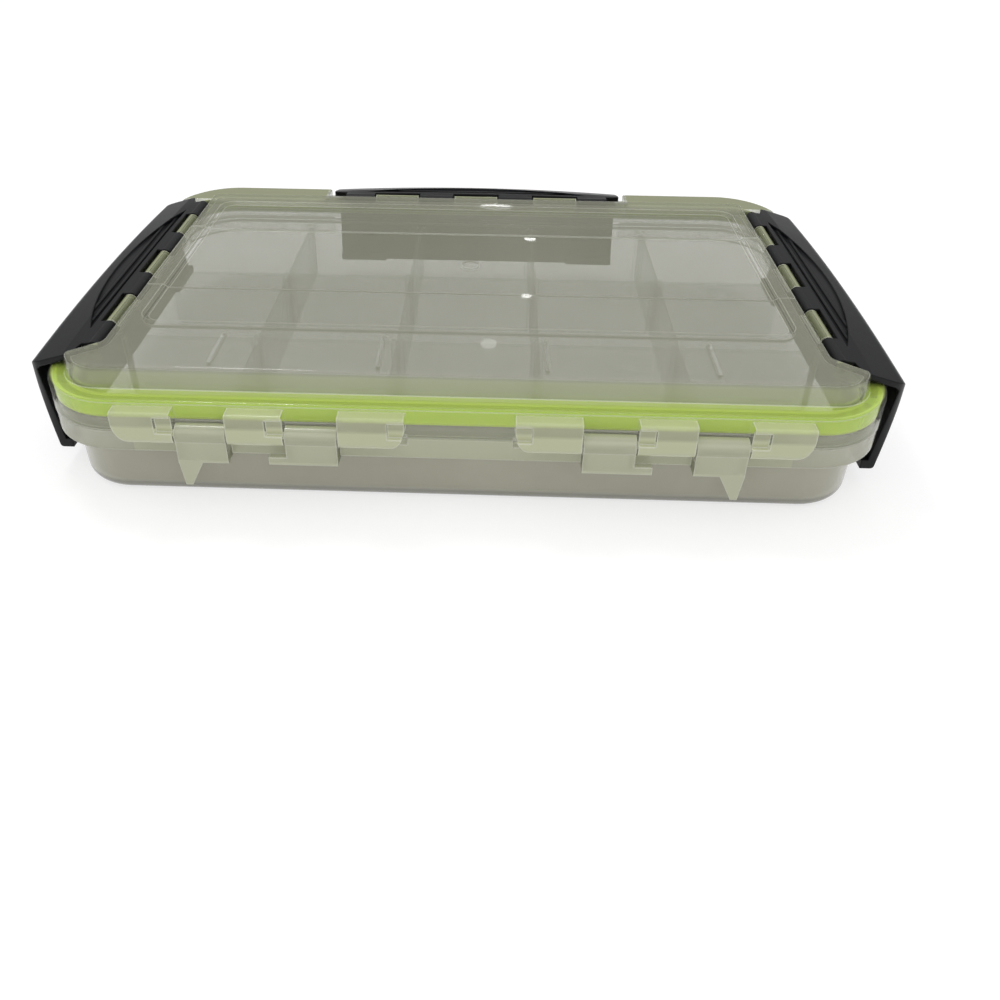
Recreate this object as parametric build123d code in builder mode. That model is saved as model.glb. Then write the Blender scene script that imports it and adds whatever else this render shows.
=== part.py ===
from build123d import *
import os
from math import atan, degrees, radians, tan

# A clear waterproof tackle tray: a ribbed base, a hinged lid with a rubber seal in its flange,
# and three hooked latches that turn on the lid. X runs along the hinge side, Y from the hinge
# side to the opposite latch, Z up. The origin is on the table, under the middle of the whole box.

# Lid flange, which sets the outline that everything else is measured from
flange_half_width = 132.1
flange_front = -87.1
flange_back = 85.1
flange_corner = 25.0
flange_top = 38.6
flange_skin = 1.2
flange_round = 1.6
skirt_bottom = 28.2
channel_offset = 6.4
channel_wall = 1.4
channel_bottom = 33.0

# Raised panel of the lid, with its foot on the flange
lid_top = 45.8
lid_skin = 1.8
panel_lean = 1.2
panel_side_setback = 6.5
panel_front_setback = 7.0
panel_back_setback = 18.5
panel_bay_setback = 16.6
panel_front_corner = 14.0
panel_back_corner = 4.2
panel_edge_round = 1.5
pad_top = 41.3
pad_skin = 1.6
pad_round = 1.2
pad_latch_gap = 2.8
latch_setback = 18.5
bay_flat = 5.5
bay_flare = 2.5
bay_corner = 2.4
recess_side_margin = 17.4
recess_front_margin = 30.4
recess_back_margin = 10.4
recess_corner = 4.0
recess_drop = 1.2
recess_slope = 2.0
band_front = -23.3
band_back = 28.6
band_drop = 0.5
hold_rib_pitch = 52.2
hold_rib_count = 4
hold_rib_width = 1.3
hold_rib_height = 1.6
hold_rib_length = 18.5
hold_rib_start = -72.1
gate_radius = 3.4
gate_height = 0.7

# Base tray
skirt_gap = 0.3
rim_inset = 0.3
rim_height = 7.3
rim_skin = 1.5
rim_round = 0.6
base_inset = 5.1
base_wall = 1.8
base_floor = 1.8
base_draft = 1.5
base_round = 4.0
cavity_round = 2.5
tongue_inset = 4.5
tongue_thick = 1.6

# Compartments
row_count = 3
column_count = 5
divider_pitch = 50.2
partition_thick = 1.6
partition_top = 26.4
divider_thick = 1.2
divider_top = 26.0
divider_clearance = 0.25
divider_corner = 3.0
slot_rib_width = 1.2
slot_rib_reach = 1.6

# Seal
gasket_inset = 1.3
gasket_width = 5.0
gasket_bottom = 32.2
gasket_round = 1.4
gasket_gap = 0.1

# Latches, drawn in a section whose u runs outward from the panel's foot
latch_side_length = 134.0
latch_back_length = 127.0
pin_u = 4.9
pin_z = 41.7
latch_pin_radius = 1.0
knuckle_radius = 2.4
strip_thick = 2.3
strip_drop = 0.15
shoulder_u = 12.5
shoulder_z = 42.6
arm_thick = 2.0
crest_u = 24.8
crest_z = 38.9
crest_round = 3.4
foot_u = 20.6
foot_z = 6.8
foot_round = 1.2
wall_thick = 2.7
inner_round = 1.6
lip_u = 16.2
lip_thick = 3.2
hook_length = 21.0
latch_bulge = 0.4
latch_arch = 1.8
end_cut = 6.0
end_cut_u = 8.6
end_cut_slant = 1.6
end_corner = 5.0
lug_radius = 2.2
lug_length = 18.8
lug_count = 3
lug_pitch_share = 0.274
lug_side_gap = 0.6
lug_inner_u = 1.2
lug_outer_u = 6.5
window_u = 7.6
pin_recess = 0.5
lip_rim_gap = 0.4
pocket_u = 9.2
pocket_width = 9.6
pocket_share = 0.77
pocket_z = 41.9
pocket_rib_width = 0.9
pocket_rib_height = 0.8
pocket_rib_pitch = 2.6
pocket_rib_count = 2

# Lid hinge
hinge_pin_out = 1.1
hinge_pin_z = 28.8
hinge_pin_radius = 1.2
barrel_radius = 3.3
barrel_relief = 0.4
hinge_gap = 0.4
hinge_lug_top = 37.4
hinge_lug_round = 1.0
hinge_end_round = 8.0
inner_lug = (16.4, 36.2)
middle_lug = (52.6, 69.5)
outer_lug = (85.7, 103.7)
lug_recess_length = 5.0
lug_recess_bottom = 30.4
lug_recess_top = 36.0
lug_recess_depth = 1.4
hinge_pin_cover = 4.0
hinge_pin_play = 0.4
leaf_setback = 0.4
leaf_thick = 2.0
leaf_bottom = 19.8
leaf_web = 1.5
leaf_foot_top = 22.5
leaf_foot_length = 5.0
tab_bottom = 11.2
tab_width = 7.5
tab_outer_run = 1.1
tab_inner_run = 4.3

# Fits of the turning and the pressed pins
running_clearance = 0.08
pressed_clearance = 0.01

# Places that follow from the sizes above
flange_width = 2 * flange_half_width
flange_depth = flange_back - flange_front
centre_y = (flange_front + flange_back) / 2
ceiling = flange_top - flange_skin
rim_top = skirt_bottom - skirt_gap
rim_bottom = rim_top - rim_height
draft_slope = tan(radians(base_draft))
panel_height = lid_top - flange_top
panel_angle = degrees(atan(panel_lean / panel_height))
panel_ceiling = lid_top - lid_skin
seat_x = flange_half_width - latch_setback
seat_y = flange_back - latch_setback
half_lengths = {
    "left": latch_side_length / 2,
    "right": latch_side_length / 2,
    "back": latch_back_length / 2,
}
latch_origins = {
    "left": Plane(origin=(-seat_x, centre_y, 0), x_dir=(-1, 0, 0), z_dir=(0, 1, 0)),
    "right": Plane(origin=(seat_x, centre_y, 0), x_dir=(1, 0, 0), z_dir=(0, -1, 0)),
    "back": Plane(origin=(0, seat_y, 0), x_dir=(0, 1, 0), z_dir=(1, 0, 0)),
}
divider_x = [(i - (column_count - 2) / 2) * divider_pitch for i in range(column_count - 1)]
wall_slope = (crest_u - foot_u) / (crest_z - foot_z)
arm_slope = (shoulder_z - crest_z) / (crest_u - shoulder_u)
pin_y = flange_front - hinge_pin_out
barrel_front = pin_y - barrel_radius
leaf_front = barrel_front + leaf_setback


def level(z):
    """A horizontal plane at height z, centred under the flange."""
    return Plane(origin=(0, centre_y, z), x_dir=(1, 0, 0), z_dir=(0, 0, 1))


def latch_level(side, z):
    """A horizontal plane at height z whose x is a latch's u and whose y runs along the latch."""
    origin = latch_origins[side].origin
    return Plane(origin=(origin.X, origin.Y, z), x_dir=latch_origins[side].x_dir, z_dir=(0, 0, 1))


def flange_ring(outer_inset, width, bottom, top):
    """A ring that follows the flange's outline, set in from it."""
    with BuildPart() as ring:
        with BuildSketch(level(bottom)):
            for inset, mode in ((outer_inset, Mode.ADD), (outer_inset + width, Mode.SUBTRACT)):
                RectangleRounded(
                    flange_width - 2 * inset, flange_depth - 2 * inset, flange_corner - inset, mode=mode
                )
        extrude(amount=top - bottom)
    return ring.part


def panel_outline(shrink):
    """The raised panel's foot, wider in front of the side latches, drawn from the centre."""
    half_width = flange_half_width - panel_side_setback
    bay_x = flange_half_width - panel_bay_setback
    front = flange_front + panel_front_setback - centre_y
    back = flange_back - panel_back_setback - centre_y
    side_half = half_lengths["right"]
    beyond = latch_setback
    slope = (bay_flat + bay_flare) / (half_width - bay_x)
    with BuildSketch() as outline:
        with Locations((0, (front + back) / 2)):
            Rectangle(2 * half_width, back - front)
        fillet(outline.vertices().group_by(Axis.Y)[0], radius=panel_front_corner)
        # From the front end of each side latch to the back, the panel stands clear of the latch.
        for sign in (-1, 1):
            with BuildLine():
                Polyline(
                    (sign * bay_x, -side_half + bay_flat),
                    (sign * bay_x, back + beyond),
                    (sign * (half_width + beyond), back + beyond),
                    (sign * (half_width + beyond), -side_half - bay_flare - beyond * slope),
                    close=True,
                )
            make_face(mode=Mode.SUBTRACT)
        fillet(outline.vertices().group_by(Axis.Y)[-1], radius=panel_back_corner)
        bay_ends = [
            v for v in outline.vertices()
            if abs(v.Y + side_half - bay_flat) < 0.01 or abs(v.Y + side_half + bay_flare) < 1.5
        ]
        fillet(bay_ends, radius=bay_corner)
        if shrink:
            offset(amount=-shrink)
    return outline.sketch


def corner_pads(outer_inset, end_inset, bottom, top):
    """The raised pads on the flange's two back corners, between the ends of the latches."""
    inner_x = half_lengths["back"] + pad_latch_gap + end_inset
    latch_end = centre_y + half_lengths["right"] + pad_latch_gap + end_inset
    panel_back = flange_back - panel_back_setback
    panel_reach = flange_half_width - panel_bay_setback - panel_back_corner
    with BuildPart() as pads:
        with BuildSketch(level(bottom)):
            RectangleRounded(
                flange_width - 2 * outer_inset, flange_depth - 2 * outer_inset, flange_corner - outer_inset
            )
        extrude(amount=top - bottom)
        with BuildSketch(Plane.XY.offset(bottom)):
            for sign in (-1, 1):
                with Locations((sign * (inner_x + flange_half_width) / 2, (latch_end + flange_back) / 2)):
                    Rectangle(flange_half_width - inner_x, flange_back - latch_end)
                if not end_inset:
                    with Locations((sign * (inner_x + panel_reach) / 2, panel_back)):
                        Rectangle(panel_reach - inner_x, 2 * (latch_end - panel_back))
        extrude(amount=top - bottom, mode=Mode.INTERSECT)
    return pads.part


def hinge_lug(sign, start, end):
    """One of the lid's hinge lugs: a block on the skirt with a barrel under it, round at a free end."""
    with BuildPart() as lug:
        with BuildSketch(Plane.YZ.offset(min(sign * start, sign * end))) as profile:
            with Locations((pin_y, hinge_pin_z)):
                Circle(barrel_radius)
            with BuildLine():
                Polyline(
                    (barrel_front, hinge_pin_z),
                    (flange_front + flange_skin / 2, hinge_pin_z),
                    (flange_front + flange_skin / 2, hinge_lug_top),
                    (barrel_front, hinge_lug_top),
                    close=True,
                )
            make_face()
            fillet(profile.vertices().sort_by_distance((barrel_front, hinge_lug_top))[0], hinge_lug_round)
        extrude(amount=end - start)
        # A rectangular recess in the front face, at the end toward the middle of the box.
        recess_middle_x = sign * (start + lug_recess_length / 2)
        recess_middle_z = (lug_recess_bottom + lug_recess_top) / 2
        with BuildSketch(Plane.XZ.offset(-barrel_front - lug_recess_depth)):
            with Locations((recess_middle_x, recess_middle_z)):
                Rectangle(lug_recess_length, lug_recess_top - lug_recess_bottom)
        extrude(amount=lug_recess_depth, mode=Mode.SUBTRACT)
        if (start, end) != middle_lug:
            free_end = start if (start, end) == inner_lug else end
            with BuildSketch(Plane.XZ) as shape:
                with BuildLine():
                    Polyline(
                        (sign * start, hinge_pin_z - barrel_radius),
                        (sign * end, hinge_pin_z - barrel_radius),
                        (sign * end, hinge_lug_top),
                        (sign * start, hinge_lug_top),
                        close=True,
                    )
                make_face()
                low_corner = (sign * free_end, hinge_pin_z - barrel_radius)
                fillet(shape.vertices().sort_by_distance(low_corner)[0], hinge_end_round)
            extrude(amount=-2 * barrel_front, both=True, mode=Mode.INTERSECT)
    return lug.part


def latch_lugs(side):
    """The lid's three lugs that hold one latch pin."""
    half = half_lengths[side]
    places = [(i - (lug_count - 1) / 2) * 2 * half * lug_pitch_share for i in range(lug_count)]
    with BuildPart() as lugs:
        for place in places:
            with BuildSketch(latch_origins[side].offset(place - lug_length / 2)):
                with Locations((pin_u, pin_z)):
                    Circle(lug_radius)
                with BuildLine():
                    Polyline(
                        (lug_inner_u, ceiling + flange_skin / 2),
                        (lug_outer_u, ceiling + flange_skin / 2),
                        (lug_outer_u, pin_z),
                        (lug_inner_u, pin_z),
                        close=True,
                    )
                make_face()
                with Locations((pin_u, pin_z)):
                    Circle(latch_pin_radius + pressed_clearance, mode=Mode.SUBTRACT)
            extrude(amount=lug_length)
    return lugs.part


def finger_hollow(side):
    """The lens-shaped space that a latch is lifted by, with ribs along its floor."""
    half = half_lengths[side] * pocket_share
    with BuildPart() as hollow:
        with BuildSketch(latch_level(side, pocket_z)):
            with BuildLine():
                ThreePointArc((pocket_u, -half), (pocket_u + pocket_width, 0), (pocket_u, half))
                Line((pocket_u, half), (pocket_u, -half))
            make_face()
        extrude(amount=lid_top - pocket_z)
        with BuildSketch(latch_level(side, pocket_z)):
            for i in range(pocket_rib_count):
                with Locations((pocket_u + pocket_rib_pitch * (i + 1), 0)):
                    Rectangle(pocket_rib_width, 2 * half)
        extrude(amount=pocket_rib_height, mode=Mode.SUBTRACT)
    return hollow.part


def make_latch(side):
    """A hooked latch: knuckles on its pin, an arched shell with a finger hollow, two end hooks."""
    half = half_lengths[side]
    places = [(i - (lug_count - 1) / 2) * 2 * half * lug_pitch_share for i in range(lug_count)]
    lip_top = foot_z + lip_thick
    inner_foot_u = foot_u - wall_thick + wall_slope * lip_thick
    arm_under_z = shoulder_z - arm_thick
    inner_crest_u = crest_u - wall_thick - wall_slope * arm_thick
    inner_crest_z = arm_under_z - arm_slope * (inner_crest_u - shoulder_u)
    with BuildPart() as latch:
        for part_way in (-1, 0, 1):
            swell = 1 - part_way ** 2
            lift = latch_arch * swell
            bulge = latch_bulge * swell
            with BuildSketch(latch_origins[side].offset(half * part_way)) as section:
                with BuildLine():
                    Polyline(
                        (pin_u, pin_z + knuckle_radius - strip_drop),
                        (shoulder_u, shoulder_z + lift),
                        (crest_u + bulge, crest_z + lift),
                        (foot_u + bulge / 2, foot_z),
                        (lip_u, foot_z),
                        (lip_u, lip_top),
                        (inner_foot_u, lip_top),
                        (inner_crest_u, inner_crest_z),
                        (shoulder_u, arm_under_z),
                        (pin_u, pin_z + knuckle_radius - strip_thick),
                        close=True,
                    )
                make_face()
                crest = (crest_u + bulge, crest_z + lift)
                fillet(section.vertices().sort_by_distance(crest)[0], crest_round)
                fillet(section.vertices().sort_by_distance((foot_u + bulge / 2, foot_z))[0], foot_round)
                fillet(section.vertices().sort_by_distance((inner_crest_u, inner_crest_z))[0], inner_round)
        loft()
        # The hooks stay only at the two ends; between them the wall is plain.
        with BuildSketch(latch_origins[side].offset(-half + hook_length)):
            with BuildLine():
                Polyline(
                    (lip_u - 1, foot_z - 1),
                    (foot_u - wall_thick - wall_slope, foot_z - 1),
                    (inner_foot_u + wall_slope, lip_top + 1),
                    (lip_u - 1, lip_top + 1),
                    close=True,
                )
            make_face()
        extrude(amount=2 * (half - hook_length), mode=Mode.SUBTRACT)
        add(finger_hollow(side), mode=Mode.SUBTRACT)
        # The outer corners of the two ends are round, seen from above.
        with BuildSketch(latch_level(side, foot_z)):
            for end in (-1, 1):
                with BuildLine():
                    corner_u = crest_u - end_corner
                    corner_v = end * (half - end_corner)
                    bow = end_corner / 2 ** 0.5
                    ThreePointArc(
                        (crest_u, corner_v), (corner_u + bow, corner_v + end * bow), (corner_u, end * half)
                    )
                    Polyline(
                        (corner_u, end * half),
                        (corner_u, end * (half + 1)),
                        (crest_u + crest_round, end * (half + 1)),
                        (crest_u + crest_round, corner_v),
                        (crest_u, corner_v),
                    )
                make_face()
        extrude(amount=lid_top - foot_z, mode=Mode.SUBTRACT)
        # Knuckles round the pin, with windows for the lid's lugs between them.
        with BuildSketch(latch_origins[side].offset(-half)):
            with Locations((pin_u, pin_z)):
                Circle(knuckle_radius)
        extrude(amount=2 * half)
        with BuildSketch(latch_level(side, ceiling)):
            with Locations(*[(window_u - latch_setback / 2, place) for place in places]):
                Rectangle(latch_setback, lug_length + 2 * lug_side_gap)
            for end in (-1, 1):
                with BuildLine():
                    Polyline(
                        (window_u - latch_setback, end * (half - end_cut)),
                        (end_cut_u, end * (half - end_cut)),
                        (end_cut_u + end_cut_slant, end * half),
                        (end_cut_u + end_cut_slant, end * (half + 1)),
                        (window_u - latch_setback, end * (half + 1)),
                        close=True,
                    )
                make_face()
        extrude(amount=lid_top - ceiling, mode=Mode.SUBTRACT)
        with BuildSketch(latch_origins[side].offset(-half)):
            with Locations((pin_u, pin_z)):
                Circle(latch_pin_radius + running_clearance)
        extrude(amount=2 * half, mode=Mode.SUBTRACT)
    latch.part.label = f"latch_{side}"
    return latch.part


def make_latch_pin(side):
    """The rod that one latch turns on, pressed into the lid's lugs."""
    half = half_lengths[side] - end_cut - pin_recess
    with BuildPart() as pin:
        with BuildSketch(latch_origins[side].offset(-half)):
            with Locations((pin_u, pin_z)):
                Circle(latch_pin_radius)
        extrude(amount=2 * half)
    pin.part.label = f"latch_pin_{side}"
    return pin.part


def make_hinge_pin(side, sign):
    """A hinge pin of the lid, held in the tray's two plates of one group."""
    start = inner_lug[0] + hinge_pin_cover
    length = outer_lug[1] - hinge_pin_cover - start
    with BuildPart() as pin:
        with BuildSketch(Plane.YZ.offset(min(sign * start, sign * (start + length)))):
            with Locations((pin_y, hinge_pin_z)):
                Circle(hinge_pin_radius)
        extrude(amount=length)
    pin.part.label = f"lid_hinge_pin_{side}"
    return pin.part


# Base tray: the space inside it first, with partitions and slot ribs left standing
cavity_width = flange_width - 2 * (base_inset + base_wall + (rim_top - base_floor) * draft_slope)
cavity_depth = flange_depth - 2 * (base_inset + base_wall + (rim_top - base_floor) * draft_slope)
cavity_corner = flange_corner - base_inset - base_wall - (rim_top - base_floor) * draft_slope
row_clear = (cavity_depth - (row_count - 1) * partition_thick) / row_count
row_pitch = row_clear + partition_thick
rows = [(i - (row_count - 1) / 2) * row_pitch for i in range(row_count)]
rib_step = divider_thick / 2 + divider_clearance + slot_rib_width / 2
with BuildPart() as cavity:
    with BuildSketch(level(base_floor)):
        RectangleRounded(cavity_width, cavity_depth, cavity_corner)
    extrude(amount=flange_top - base_floor, taper=-base_draft)
    fillet(cavity.edges().group_by(Axis.Z)[0], radius=cavity_round)
    with BuildSketch(level(0)):
        for i in range(row_count - 1):
            with Locations((0, (i - (row_count - 2) / 2) * row_pitch)):
                Rectangle(flange_width, partition_thick)
        for row in rows:
            for x in divider_x:
                for face in (-1, 1):
                    with Locations((x - rib_step, row + face * row_clear / 2)):
                        Rectangle(slot_rib_width, 2 * slot_rib_reach)
                    with Locations((x + rib_step, row + face * row_clear / 2)):
                        Rectangle(slot_rib_width, 2 * slot_rib_reach)
    extrude(amount=partition_top, mode=Mode.SUBTRACT)

with BuildPart() as rim:
    add(flange_ring(rim_inset, base_inset - rim_inset + base_wall / 2, rim_bottom, rim_top))
    fillet(rim.edges().group_by(Axis.Z)[-1].sort_by(SortBy.LENGTH)[-4:], radius=rim_round)
    under_rim = flange_ring(rim_inset + rim_skin, base_inset - rim_inset, rim_bottom, rim_top - rim_skin)
    add(under_rim, mode=Mode.SUBTRACT)
    # The rim is cut back behind each latch, so that the hooks pass it when the lid lifts.
    for side, half in half_lengths.items():
        with BuildSketch(latch_level(side, rim_bottom)):
            with Locations((lip_u - lip_rim_gap + latch_setback / 2, 0)):
                Rectangle(latch_setback, 2 * (half + bay_flare))
        extrude(amount=rim_height, mode=Mode.SUBTRACT)

with BuildPart() as base_tray:
    with BuildSketch(level(0)):
        inset = base_inset + rim_top * draft_slope
        RectangleRounded(flange_width - 2 * inset, flange_depth - 2 * inset, flange_corner - inset)
    extrude(amount=rim_top, taper=-base_draft)
    fillet(base_tray.edges().group_by(Axis.Z)[0], radius=base_round)
    add(rim.part)
    add(flange_ring(tongue_inset, tongue_thick, rim_top - rim_skin / 2, gasket_bottom - gasket_gap))
    add(cavity.part, mode=Mode.SUBTRACT)
    # Room for the lid's hinge lugs to turn in the rim.
    for sign in (-1, 1):
        for start, end in (inner_lug, middle_lug, outer_lug):
            with BuildSketch(Plane.YZ.offset(min(sign * start, sign * end) - hinge_gap)):
                with Locations((pin_y, hinge_pin_z)):
                    Circle(barrel_radius + barrel_relief)
            extrude(amount=end - start + 2 * hinge_gap, mode=Mode.SUBTRACT)
    # Hinge plates: a barrel round the pin, a leaf below it and a web at each end.
    inner_plate = (inner_lug[1] + hinge_gap, middle_lug[0] - hinge_gap)
    outer_plate = (middle_lug[1] + hinge_gap, outer_lug[0] - hinge_gap)
    wall_y = flange_front + base_inset + base_wall / 2
    for sign in (-1, 1):
        for start, end in (inner_plate, outer_plate):
            low = min(sign * start, sign * end)
            with BuildSketch(Plane.YZ.offset(low)):
                with Locations((pin_y, hinge_pin_z)):
                    Circle(barrel_radius)
                with BuildLine():
                    Polyline(
                        (leaf_front, hinge_pin_z),
                        (leaf_front, leaf_bottom),
                        (leaf_front + leaf_thick, leaf_bottom),
                        (leaf_front + leaf_thick, hinge_pin_z),
                        close=True,
                    )
                make_face()
            extrude(amount=end - start)
            for web_low in (low, low + end - start - leaf_web):
                with BuildSketch(Plane.YZ.offset(web_low)):
                    with BuildLine():
                        Polyline(
                            (leaf_front + leaf_thick / 2, rim_top),
                            (leaf_front + leaf_thick / 2, leaf_bottom),
                            (wall_y, leaf_bottom),
                            (wall_y, rim_top),
                            close=True,
                        )
                    make_face()
                extrude(amount=leaf_web)
        # The foot of the inner plate, and the tapered tab with a fin behind it.
        with BuildSketch(Plane.XZ.offset(-leaf_front - leaf_thick)):
            with BuildLine():
                Polyline(
                    (sign * (middle_lug[0] - hinge_gap - leaf_web), leaf_bottom),
                    (sign * (middle_lug[0] + leaf_foot_length), leaf_bottom),
                    (sign * (middle_lug[0] + leaf_foot_length), leaf_foot_top),
                    (sign * (middle_lug[0] - hinge_gap - leaf_web), leaf_foot_top),
                    close=True,
                )
            make_face()
            with BuildLine():
                Polyline(
                    (sign * outer_plate[1], leaf_foot_top),
                    (sign * outer_plate[1], leaf_bottom),
                    (sign * (outer_plate[1] - tab_outer_run), tab_bottom),
                    (sign * (outer_plate[1] - tab_width + tab_inner_run), tab_bottom),
                    (sign * (outer_plate[1] - tab_width), leaf_bottom),
                    (sign * (outer_plate[1] - tab_width), leaf_foot_top),
                    close=True,
                )
            make_face()
        extrude(amount=leaf_thick)
        fin_middle = sign * (outer_plate[1] - (tab_outer_run + tab_width - tab_inner_run) / 2)
        with BuildSketch(Plane.YZ.offset(fin_middle - leaf_web / 2)):
            with BuildLine():
                Polyline(
                    (leaf_front + leaf_thick / 2, tab_bottom),
                    (wall_y, tab_bottom),
                    (wall_y, rim_bottom),
                    (leaf_front + leaf_thick / 2, rim_bottom),
                    close=True,
                )
            make_face()
        extrude(amount=leaf_web)
        with BuildSketch(Plane.YZ.offset(min(sign * inner_lug[1], sign * outer_lug[0]))):
            with Locations((pin_y, hinge_pin_z)):
                Circle(hinge_pin_radius + pressed_clearance)
        extrude(amount=outer_lug[0] - inner_lug[1], mode=Mode.SUBTRACT)
base_tray.part.label = "base_tray"

# Loose dividers
dividers = []
for row_name, row in zip(("front", "middle", "back"), rows):
    for i, x in enumerate(divider_x):
        with BuildPart() as divider:
            with BuildSketch(Plane.YZ.offset(x - divider_thick / 2)) as plate:
                with Locations((centre_y + row, (base_floor + divider_top) / 2)):
                    Rectangle(row_clear - 2 * divider_clearance, divider_top - base_floor)
                fillet(plate.vertices(), radius=divider_corner)
            extrude(amount=divider_thick)
        divider.part.label = f"divider_{row_name}_{i + 1}"
        dividers.append(divider.part)

# Lid: panel hollow and panel dip first, then the lid round them
with BuildPart() as panel_hollow:
    with BuildSketch(level(ceiling)):
        add(panel_outline(lid_skin))
    extrude(amount=flange_skin)
    with BuildSketch(level(flange_top)):
        add(panel_outline(lid_skin))
    extrude(amount=panel_height - lid_skin, taper=panel_angle)

with BuildPart() as panel_dip:
    recess_width = flange_width - 2 * (panel_side_setback + recess_side_margin)
    recess_front = flange_front + panel_front_setback + recess_front_margin
    recess_back = flange_back - panel_back_setback - recess_back_margin
    recess_middle = Plane(origin=(0, (recess_front + recess_back) / 2, lid_top - recess_drop - band_drop))
    recess_depth = recess_back - recess_front
    recess_rise = recess_drop + band_drop
    widen = recess_slope * recess_rise / recess_drop
    with BuildSketch(recess_middle):
        RectangleRounded(recess_width - 2 * recess_slope, recess_depth - 2 * recess_slope, recess_corner)
    with BuildSketch(recess_middle.offset(recess_rise)):
        RectangleRounded(
            recess_width - 2 * recess_slope + 2 * widen,
            recess_depth - 2 * recess_slope + 2 * widen,
            recess_corner + widen,
        )
    loft()
    band_middle = (band_front + band_back) / 2
    with Locations((0, band_middle, lid_top)):
        Box(flange_width, band_back - band_front, 2 * recess_rise, mode=Mode.INTERSECT)
    with Locations((0, band_middle, lid_top)):
        Box(flange_width, band_back - band_front, 2 * band_drop)
    with BuildSketch(recess_middle.offset(band_drop)):
        RectangleRounded(recess_width - 2 * recess_slope, recess_depth - 2 * recess_slope, recess_corner)
    with BuildSketch(recess_middle.offset(band_drop + recess_drop)):
        RectangleRounded(recess_width, recess_depth, recess_corner + recess_slope)
    loft()

with BuildPart() as lid:
    with BuildSketch(level(skirt_bottom)):
        RectangleRounded(flange_width, flange_depth, flange_corner)
    extrude(amount=flange_top - skirt_bottom)
    fillet(lid.edges().group_by(Axis.Z)[-1], radius=flange_round)
    with BuildSketch(level(skirt_bottom)):
        RectangleRounded(
            flange_width - 2 * flange_skin, flange_depth - 2 * flange_skin, flange_corner - flange_skin
        )
    extrude(amount=ceiling - skirt_bottom, mode=Mode.SUBTRACT)
    with BuildSketch(level(flange_top - flange_skin / 2)):
        add(panel_outline(0))
    extrude(amount=flange_skin / 2)
    with BuildSketch(level(flange_top)):
        add(panel_outline(0))
    extrude(amount=panel_height, taper=panel_angle)
    fillet(lid.faces().sort_by(Axis.Z)[-1].edges(), radius=panel_edge_round)
    with BuildPart() as pads:
        add(corner_pads(0, 0, ceiling + flange_skin / 2, pad_top))
        fillet(pads.edges().group_by(Axis.Z)[-1], radius=pad_round)
    add(pads.part)
    pad_hollow = corner_pads(channel_offset + channel_wall, pad_skin, ceiling, pad_top - pad_skin)
    add(pad_hollow, mode=Mode.SUBTRACT)
    add(panel_hollow.part, mode=Mode.SUBTRACT)
    # Under the dip the skin is carried down, so that it keeps its thickness.
    with BuildSketch(recess_middle.offset(-lid_skin + band_drop)):
        RectangleRounded(recess_width, recess_depth, recess_corner + recess_slope)
    extrude(amount=lid_skin)
    add(panel_dip.part, mode=Mode.SUBTRACT)
    add(flange_ring(channel_offset, channel_wall, channel_bottom, flange_top - flange_skin / 2))
    with BuildSketch(Plane.XY.offset(panel_ceiling - hold_rib_height)):
        for i in range(hold_rib_count):
            x = (i - (hold_rib_count - 1) / 2) * hold_rib_pitch
            with Locations((x, hold_rib_start + hold_rib_length / 2)):
                Rectangle(hold_rib_width, hold_rib_length)
    extrude(amount=hold_rib_height + lid_skin / 2)
    with BuildSketch(Plane.XY.offset(lid_top - recess_drop - band_drop)):
        Circle(gate_radius)
    extrude(amount=gate_height)
    for side in half_lengths:
        add(latch_lugs(side))
    # Hinge lugs, with room beside them for the tray's barrels, and the hole for each pin.
    for sign in (-1, 1):
        for start, end in (inner_plate, outer_plate):
            with BuildSketch(Plane.YZ.offset(min(sign * start, sign * end) - hinge_gap)):
                with Locations((pin_y, hinge_pin_z)):
                    Circle(barrel_radius + barrel_relief)
            extrude(amount=end - start + 2 * hinge_gap, mode=Mode.SUBTRACT)
        for start, end in (inner_lug, middle_lug, outer_lug):
            add(hinge_lug(sign, start, end))
        bore_start = inner_lug[0] - hinge_gap
        bore_end = outer_lug[1] - hinge_pin_cover + hinge_pin_play
        with BuildSketch(Plane.YZ.offset(min(sign * bore_start, sign * bore_end))):
            with Locations((pin_y, hinge_pin_z)):
                Circle(hinge_pin_radius + running_clearance)
        extrude(amount=bore_end - bore_start, mode=Mode.SUBTRACT)
lid.part.label = "lid"

# Seal
with BuildPart() as seal_gasket:
    add(flange_ring(gasket_inset, gasket_width, gasket_bottom, ceiling))
    fillet(seal_gasket.edges().group_by(Axis.Z)[-1].filter_by(GeomType.LINE).group_by(SortBy.LENGTH)[-1],
           radius=gasket_round)
seal_gasket.part.label = "seal_gasket"

parts = [base_tray.part, lid.part, seal_gasket.part]
for side in half_lengths:
    parts.append(make_latch(side))
    parts.append(make_latch_pin(side))
parts.append(make_hinge_pin("left", -1))
parts.append(make_hinge_pin("right", 1))
parts.extend(dividers)

os.makedirs("parts", exist_ok=True)
for solid in parts:
    export_step(solid, f"parts/{solid.label}.step")
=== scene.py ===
import math

import bpy
from mathutils import Matrix, Vector

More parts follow.
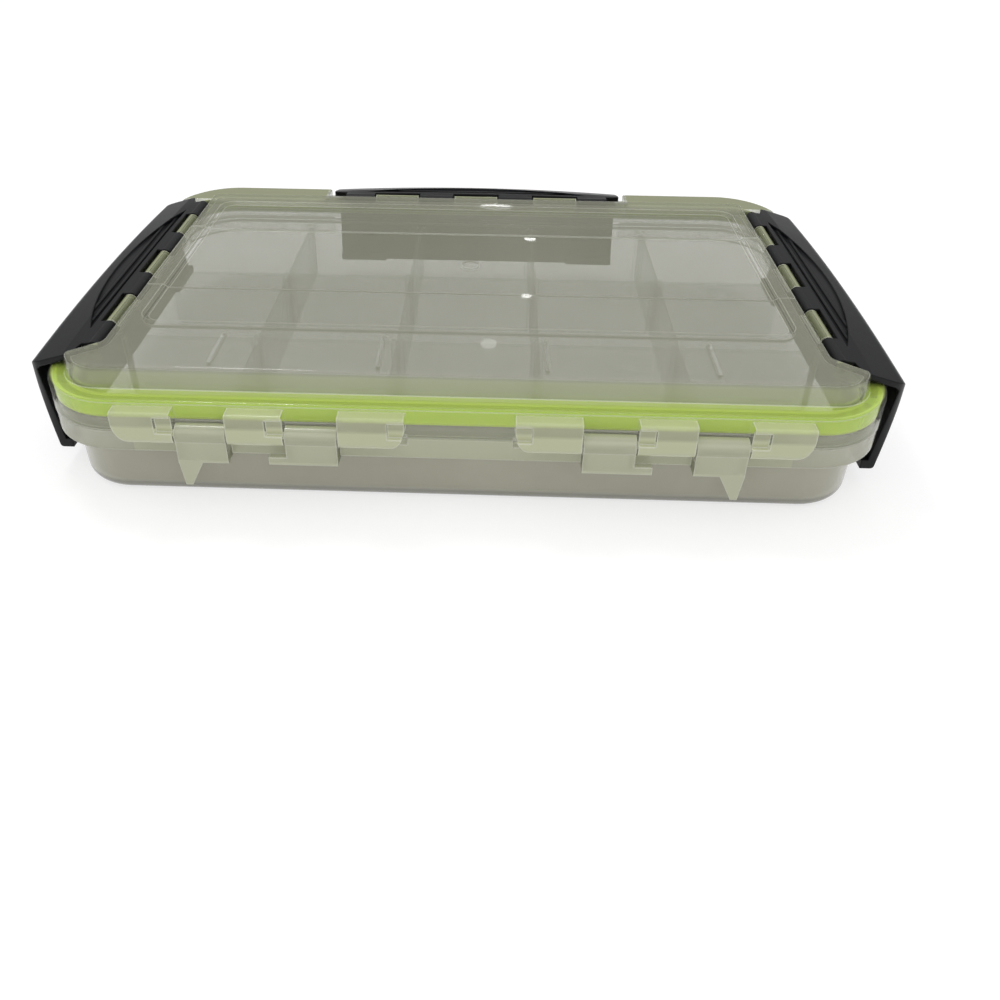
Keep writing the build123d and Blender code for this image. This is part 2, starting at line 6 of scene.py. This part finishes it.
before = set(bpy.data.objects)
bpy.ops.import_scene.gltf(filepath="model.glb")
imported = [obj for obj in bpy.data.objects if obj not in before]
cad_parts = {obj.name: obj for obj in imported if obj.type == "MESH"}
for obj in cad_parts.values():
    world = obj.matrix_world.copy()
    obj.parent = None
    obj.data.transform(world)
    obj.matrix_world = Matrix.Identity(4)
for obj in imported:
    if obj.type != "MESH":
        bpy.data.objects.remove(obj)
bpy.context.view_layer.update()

# The camera stands in front of the hinge side and a little right of the middle, looking down on the
# lid. Its place, turn and lens come from fitting the box's own edges in the photograph.
camera_place = Vector((0.00919, -0.30523, 0.18949))
camera_yaw = math.radians(-1.701)
camera_pitch = math.radians(30.777)
camera_roll = math.radians(0.53)
camera_lens = 32.4
camera_shift = (0.03, -0.15)

ahead = Vector((
    math.sin(camera_yaw) * math.cos(camera_pitch),
    math.cos(camera_yaw) * math.cos(camera_pitch),
    -math.sin(camera_pitch),
))
level_right = Vector((math.cos(camera_yaw), -math.sin(camera_yaw), 0.0))
level_up = level_right.cross(ahead)
right = level_right * math.cos(camera_roll) + level_up * math.sin(camera_roll)
up = level_up * math.cos(camera_roll) - level_right * math.sin(camera_roll)
camera_data = bpy.data.cameras.new("camera")
camera_data.sensor_width = 36.0
camera_data.lens = camera_lens
camera_data.shift_x, camera_data.shift_y = camera_shift
camera_data.clip_start = 0.01
camera_data.clip_end = 20.0
camera = bpy.data.objects.new("camera", camera_data)
camera.matrix_world = Matrix((
    (right.x, up.x, -ahead.x, camera_place.x),
    (right.y, up.y, -ahead.y, camera_place.y),
    (right.z, up.z, -ahead.z, camera_place.z),
    (0.0, 0.0, 0.0, 1.0),
))
bpy.context.scene.collection.objects.link(camera)
bpy.context.scene.camera = camera


# The tray is one moulding of slightly smoky, milky clear plastic, smooth enough to shine but full
# of faint flow marks. Its edges look denser than its walls, and a painted highlight makes them pale.
class Value:
    """A shader socket that can be used in sums, so that a pattern reads as its own arithmetic."""

    def __init__(self, material, socket):
        self.material = material
        self.socket = socket

    def maths(self, operation, *others):
        return self.material.node(
            "ShaderNodeMath", {"operation": operation}, dict(enumerate((self,) + others))
        )

    def __add__(self, other):
        return self.maths("ADD", other)

    def __radd__(self, other):
        return self.maths("ADD", other)

    def __sub__(self, other):
        return self.maths("SUBTRACT", other)

    def __rsub__(self, other):
        return (self * -1.0).maths("ADD", other)

    def __mul__(self, other):
        return self.maths("MULTIPLY", other)

    def power(self, other):
        return self.maths("POWER", other)

    def above(self, edge, soft=0.0002):
        """1 where the value is over an edge and 0 below it, with a short soft step between."""
        return ((self - edge) * (0.5 / soft) + 0.5).clamp()

    def size(self):
        return self.maths("ABSOLUTE")

    def clamp(self):
        return self.material.node("ShaderNodeClamp", {}, {0: self})


class Finish:
    """A material in the making: its nodes are added one by one, and its Principled sockets set."""

    def __init__(self, name):
        self.material = bpy.data.materials.new(name)
        self.material.use_nodes = True
        self.tree = self.material.node_tree
        self.shader = self.tree.nodes["Principled BSDF"]
        self.output = self.tree.nodes["Material Output"]
        self.place = self.node("ShaderNodeTexCoord", {}, {}, "Object")

    def node(self, kind, settings, inputs, output=0):
        made = self.tree.nodes.new(kind)
        for key, setting in settings.items():
            if key == "stops":
                ramp = made.color_ramp.elements
                for index, (position, colour) in enumerate(setting):
                    stop = ramp[index] if index < 2 else ramp.new(position)
                    stop.position = position
                    stop.color = (*colour, 1.0)
            else:
                setattr(made, key, setting)
        for key, value in inputs.items():
            self.feed(made.inputs[key], value)
        return Value(self, made.outputs[output])

    def feed(self, socket, value):
        if isinstance(value, Value):
            self.tree.links.new(value.socket, socket)
        elif isinstance(value, (tuple, list)) and len(value) == 3 and socket.type == "RGBA":
            socket.default_value = (*value, 1.0)
        else:
            socket.default_value = value

    def noise(self, scale, detail=3.0, roughness=0.5, stretch=(1.0, 1.0, 1.0)):
        place = self.node("ShaderNodeMapping", {}, {"Vector": self.place, "Scale": stretch})
        return self.node(
            "ShaderNodeTexNoise", {},
            {"Vector": place, "Scale": scale, "Detail": detail, "Roughness": roughness},
        )

    def blend(self, factor, one, other):
        return self.node(
            "ShaderNodeMix", {"data_type": "RGBA"}, {0: factor, 6: one, 7: other}, 2
        )

    def set(self, **sockets):
        for key, value in sockets.items():
            self.feed(self.shader.inputs[key.replace("_", " ")], value)

    def bump(self, height, distance, strength=1.0, edge=None):
        inputs = {"Height": height, "Distance": distance, "Strength": strength}
        if edge:
            inputs["Normal"] = self.node("ShaderNodeBevel", {"samples": 4}, {"Radius": edge})
        self.set(Normal=self.node("ShaderNodeBump", {}, inputs))

    def wear(self, *nodes):
        for node in nodes:
            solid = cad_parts[node]
            solid.data.materials.clear()
            solid.data.materials.append(self.material)
            for polygon in solid.data.polygons:
                polygon.material_index = 0


class ClearPlastic(Finish):
    """Milky clear plastic. Its outer faces carry most of the milkiness, its inner faces little."""

    def __init__(self, name, middle_height):
        super().__init__(name)
        self.x, self.y, self.z = self.axes(self.place)
        turn = self.node("ShaderNodeTexCoord", {}, {}, "Normal")
        turn_x, turn_y, turn_z = self.axes(turn)
        outward = turn_x * self.x + turn_y * self.y + turn_z * (self.z - middle_height)
        self.outer = outward.above(0.0, 0.0004)
        self.cloud = self.noise(14.0, 4.0, 0.55)
        self.flow = self.noise(60.0, 3.0, 0.6, (1.0, 0.25, 1.0))
        self.haze = ((self.cloud * 0.7 + self.flow * 0.3 - 0.38) * 2.4).clamp()
        # How far a point lies inside the flange's rounded outline, from the centres of its corners.
        corner_radius = 0.0250
        past_x = self.x.size() - 0.1071
        past_y = (self.y + 0.001).size() - 0.0611
        past_corner = past_x.maths("MAXIMUM", 0.0).power(2.0) + past_y.maths("MAXIMUM", 0.0).power(2.0)
        past_side = past_x.maths("MAXIMUM", past_y).maths("MINIMUM", 0.0)
        self.inset = corner_radius - past_corner.power(0.5) - past_side
        # A thin band along every edge and crease, which mould paints pale and denser as a painted
        # highlight.
        self.soft_edge = self.node("ShaderNodeBevel", {"samples": 6}, {"Radius": 0.0007})
        face = self.node("ShaderNodeNewGeometry", {}, {}, "Normal")
        same = self.node(
            "ShaderNodeVectorMath", {"operation": "DOT_PRODUCT"}, {0: self.soft_edge, 1: face}, "Value"
        )
        self.edge = ((1.0 - same) * 22.0).clamp()

    def axes(self, vector):
        return [
            self.node("ShaderNodeSeparateXYZ", {}, {"Vector": vector}, axis) for axis in ("X", "Y", "Z")
        ]

    def between(self, value, low, high, soft=0.0002):
        return value.above(low, soft) * (high - value).above(0.0, soft)

    def mould(self, colour, density, gloss=0.5, edge_highlight_strength=0.5):
        """Set the shader. Density is how much one face hides of what lies behind it."""
        rim = self.node("ShaderNodeLayerWeight", {}, {"Blend": 0.3}, "Facing")
        # Painted highlight: the edge band lightens the base colour and thickens the alpha.
        painted_edge_highlight = self.edge * edge_highlight_strength
        self.set(
            Base_Color=self.blend(painted_edge_highlight, colour, (0.88, 0.89, 0.78)),
            Roughness=0.2 + self.flow * 0.1,
            Alpha=(density + rim.power(3.0) * 0.15 + self.haze * 0.04 + painted_edge_highlight * 0.4).clamp(),
            IOR=1.49,
            Coat_Weight=gloss,
            Coat_Roughness=0.015,
        )
        height = self.cloud * 0.6 + self.flow * 0.4
        self.set(Normal=self.node(
            "ShaderNodeBump", {},
            {"Height": height, "Distance": 0.00018, "Strength": 0.4, "Normal": self.soft_edge},
        ))
        self.material.surface_render_method = "BLENDED"


tray_finish = ClearPlastic("tray_plastic", 0.015)
# The cavity's faces are clear, the outer shell is milky and the rim a little less so.
inside = (
    (0.070 - (tray_finish.y + 0.001).size()).above(0.0)
    * (0.123 - tray_finish.x.size()).above(0.0)
    * tray_finish.between(tray_finish.z, 0.0022, 0.0266)
)
# Pale leaves, webs and tabs stand out from the wall on the hinge side, and so does the rim.
leaf = (
    (-0.0831 - tray_finish.y).above(0.0)
    * tray_finish.z.above(0.0105)
    * (0.1 - tray_finish.x.size()).above(0.0)
)
rim_band = tray_finish.z.above(0.0207) * tray_finish.outer
tray_colour = tray_finish.blend(tray_finish.haze, (0.37, 0.36, 0.275), (0.43, 0.42, 0.33))
tray_colour = tray_finish.blend(rim_band, tray_colour, (0.44, 0.44, 0.34))
tray_colour = tray_finish.blend(leaf, tray_colour, (0.48, 0.49, 0.345))
# Painted shade: the tray's floor and the foot of its walls, up to about 4 mm, are painted dark for the
# shade in the bottom of the closed box.
tray_floor_painted_shade = (0.0042 - tray_finish.z).above(0.0, 0.0006)
tray_colour = tray_finish.blend(tray_floor_painted_shade, tray_colour, (0.20, 0.195, 0.145))
shell = tray_finish.outer * (1.0 - inside)
tray_density = 0.07 + shell * (0.82 - rim_band * 0.25) + leaf * 0.08
tray_finish.mould(tray_colour, tray_density, 0.5, 0.45)
tray_finish.wear("base_tray")

# The loose dividers are thin flat plates of the same plastic, dropped between pairs of slot ribs.
# They show only as soft pale bands through the lid.
divider_finish = ClearPlastic("divider_plastic", 0.0)
divider_finish.mould(
    divider_finish.blend(divider_finish.haze, (0.50, 0.48, 0.42), (0.56, 0.54, 0.48)), 0.2
)
for row in ("front", "middle", "back"):
    divider_finish.wear(*[f"divider_{row}_{place}" for place in range(1, 5)])

# The lid is moulded of the same plastic. Its raised panel is milky and hides part of the inside. The
# flange, the lugs and the corner pads take on the green that the seal lends to the plastic round it.
# Over the seal, the flange's bright lime is partly painted light.
lid_finish = ClearPlastic("lid_plastic", 0.030)
raised = lid_finish.z.above(0.0388)
panel_top = lid_finish.z.above(0.04406, 0.00004)
lug = (-0.08725 - lid_finish.y).above(0.0, 0.00008)
skirt = (0.0328 - lid_finish.z).above(0.0, 0.0006)
# The top of the flange beside and behind the panel, with the corner pads.
back_part = lid_finish.y.above(-0.0665)
flange_ring = (0.0162 - lid_finish.inset).above(0.0) * lid_finish.z.above(0.0384, 0.0001)
beyond = flange_ring * back_part
# The panel's front wall, below its rounded top edge.
front_wall = (-0.0775 - lid_finish.y).above(0.0)
front_wall = front_wall * lid_finish.between(lid_finish.z, 0.0388, 0.0448, 0.0008)
# Partly painted light: the clear flange is painted bright lime from just inside its edge to the foot of
# the panel, for the seal seen through it, lit as though the flange cast no shade on it.
seal_lime_painted_light = lid_finish.between(lid_finish.inset, 0.0010, 0.0090, 0.0004)
seal_lime_painted_light = seal_lime_painted_light * lid_finish.between(lid_finish.z, 0.0329, 0.0387)
seal_lime_painted_light = seal_lime_painted_light * (1.0 - beyond) * (1.0 - lug)
# Two strips at the panel's back, either side of the back latch, where the seal's green shows through.
back_strip = lid_finish.between(lid_finish.y, 0.055, 0.070, 0.005)
back_strip = back_strip * lid_finish.x.size().above(0.066, 0.002) * panel_top
lid_colour = lid_finish.blend(lid_finish.haze, (0.265, 0.27, 0.185), (0.315, 0.32, 0.23))
lid_colour = lid_finish.blend(back_strip * 0.7, lid_colour, (0.36, 0.39, 0.22))
lid_colour = lid_finish.blend(front_wall, lid_colour, (0.37, 0.40, 0.22))
lid_colour = lid_finish.blend(beyond, lid_colour, (0.26, 0.28, 0.14))
lid_colour = lid_finish.blend(seal_lime_painted_light, lid_colour, (0.66, 0.86, 0.12))
lid_colour = lid_finish.blend(lug, lid_colour, (0.51, 0.53, 0.33))
covered = lid_finish.outer.maths("MAXIMUM", panel_top)
lid_density = 0.05 + covered * (0.04 + raised * 0.41 + skirt * 0.4 + lug * 0.5)
lid_density = lid_density + seal_lime_painted_light * 0.5 + beyond * 0.5 + front_wall * covered * 0.12
lid_finish.mould(lid_colour, lid_density, 0.8, 0.6)
lid_finish.wear("lid")

# The seal is one soft lime-green rubber ring, pressed up into the lid's channel. Its skin is satin
# and slightly uneven.
seal_finish = Finish("seal_rubber")
seal_cloud = seal_finish.noise(40.0, 4.0, 0.6)
seal_finish.set(
    Base_Color=seal_finish.blend(seal_cloud, (0.62, 0.84, 0.08), (0.72, 0.93, 0.12)),
    Roughness=0.35 + seal_cloud * 0.15,
    Specular_IOR_Level=0.4,
)
seal_finish.bump(seal_finish.noise(260.0, 2.0), 0.0001, 0.4, 0.0006)
seal_finish.wear("seal_gasket")

# Three latches of glossy black plastic hook over the tray's rim. Each is one moulding: knuckles on
# its pin, an arched shell with a ribbed hollow for the fingers, and a hook at each end.
latch_finish = Finish("latch_plastic")
latch_flow = latch_finish.noise(30.0, 4.0, 0.6)
latch_grain = latch_finish.noise(900.0, 2.0, 0.5)
latch_finish.set(
    Base_Color=latch_finish.blend(latch_flow, (0.004, 0.0045, 0.005), (0.007, 0.007, 0.009)),
    Roughness=0.26 + latch_flow * 0.12 + latch_grain * 0.05,
    Specular_IOR_Level=0.22,
)
latch_finish.bump(latch_flow * 0.8 + latch_grain * 0.2, 0.0002, 0.35, 0.0008)
latch_finish.wear("latch_left", "latch_right", "latch_back")

# The pins are dark rods, hidden in the knuckles and lugs but for their ends.
pin_finish = Finish("pin_plastic")
pin_drawn = pin_finish.noise(500.0, 2.0, 0.5)
pin_finish.set(
    Base_Color=pin_finish.blend(pin_drawn, (0.03, 0.03, 0.03), (0.06, 0.06, 0.06)),
    Roughness=0.35 + pin_drawn * 0.2,
)
pin_finish.bump(pin_drawn, 0.00005, 0.4)
pin_finish.wear(
    "lid_hinge_pin_left", "lid_hinge_pin_right", "latch_pin_left", "latch_pin_right", "latch_pin_back"
)

# The floor is one wide flat sheet. The camera and reflections see it white, and it keeps the box's
# soft shadow.
floor_half = 6.0
bpy.ops.object.select_all(action="DESELECT")
bpy.ops.mesh.primitive_plane_add(size=2 * floor_half, location=(0.0, 0.0, -0.0002))
floor = bpy.context.object
floor.name = "floor"
bpy.ops.object.transform_apply(location=True, rotation=True, scale=True)
floor_finish = Finish("floor_white")
tree = floor_finish.tree
tree.nodes.remove(floor_finish.shader)
seen = floor_finish.node("ShaderNodeLightPath", {}, {}, "Is Camera Ray")
mirrored = floor_finish.node("ShaderNodeLightPath", {}, {}, "Is Glossy Ray")
passed = floor_finish.node("ShaderNodeLightPath", {}, {}, "Is Transmission Ray")
plain = floor_finish.node("ShaderNodeBsdfDiffuse", {}, {"Color": (0.75, 0.75, 0.75)})
dim = floor_finish.node("ShaderNodeBsdfDiffuse", {}, {"Color": (0.4, 0.4, 0.4)})
glow = floor_finish.node("ShaderNodeEmission", {}, {"Color": (1.0, 1.0, 1.0), "Strength": 0.66})
white = floor_finish.node("ShaderNodeAddShader", {}, {0: dim, 1: glow})
shown = (seen + mirrored + passed).clamp()
mixed = floor_finish.node("ShaderNodeMixShader", {}, {0: shown, 1: plain, 2: white})
tree.links.new(mixed.socket, floor_finish.output.inputs["Surface"])
floor.data.materials.append(floor_finish.material)

# The studio is a soft room, bright overhead and dim near the horizon, so that the plastic keeps its
# own colour. A wide lamp fills the front, and the lid mirrors four small lamps as short bright dashes.
world = bpy.data.worlds.new("studio")
bpy.context.scene.world = world
world.use_nodes = True
sky = world.node_tree
background = sky.nodes["Background"]
direction = sky.nodes.new("ShaderNodeTexCoord")
split = sky.nodes.new("ShaderNodeSeparateXYZ")
height = sky.nodes.new("ShaderNodeValToRGB")
sky.links.new(direction.outputs["Generated"], split.inputs["Vector"])
sky.links.new(split.outputs["Z"], height.inputs["Fac"])
room_levels = ((0.0, 0.32), (0.35, 0.38), (0.7, 0.95), (1.0, 1.25))
for index, (position, level) in enumerate(room_levels):
    stop = height.color_ramp.elements[index] if index < 2 else height.color_ramp.elements.new(position)
    stop.position = position
    stop.color = (level, level, level, 1.0)
sky.links.new(height.outputs["Color"], background.inputs["Color"])

lamp_distance = 2.4
ceiling_lamps = [
    ("overhead", (-0.40, 0.35, 1.2), 0.24, 0.24, 2.2),
    ("front_fill", (0.15, -1.6, 0.95), 1.9, 1.5, 5.0),
]
for index, (across, ahead_part, rise, wide, deep, power) in enumerate((
    (0.004, 0.938, 0.383, 0.100, 0.012, 0.030),
    (0.047, 0.919, 0.416, 0.036, 0.012, 0.012),
    (0.044, 0.880, 0.477, 0.032, 0.012, 0.011),
    (-0.002, 0.848, 0.530, 0.050, 0.030, 0.010),
)):
    place = (across * lamp_distance, ahead_part * lamp_distance, rise * lamp_distance)
    ceiling_lamps.append((f"lamp_{index + 1}", place, wide, deep, power))
for name, place, wide, deep, power in ceiling_lamps:
    lamp_data = bpy.data.lights.new(name, "AREA")
    lamp_data.shape = "ELLIPSE"
    lamp_data.energy = power
    lamp_data.size = wide
    lamp_data.size_y = deep
    lamp = bpy.data.objects.new(name, lamp_data)
    lamp.location = place
    lamp.rotation_euler = (-Vector(place)).to_track_quat("-Z", "Y").to_euler()
    bpy.context.scene.collection.objects.link(lamp)

bpy.context.scene.cycles.transparent_max_bounces = 32
bpy.context.scene.view_settings.view_transform = "Standard"
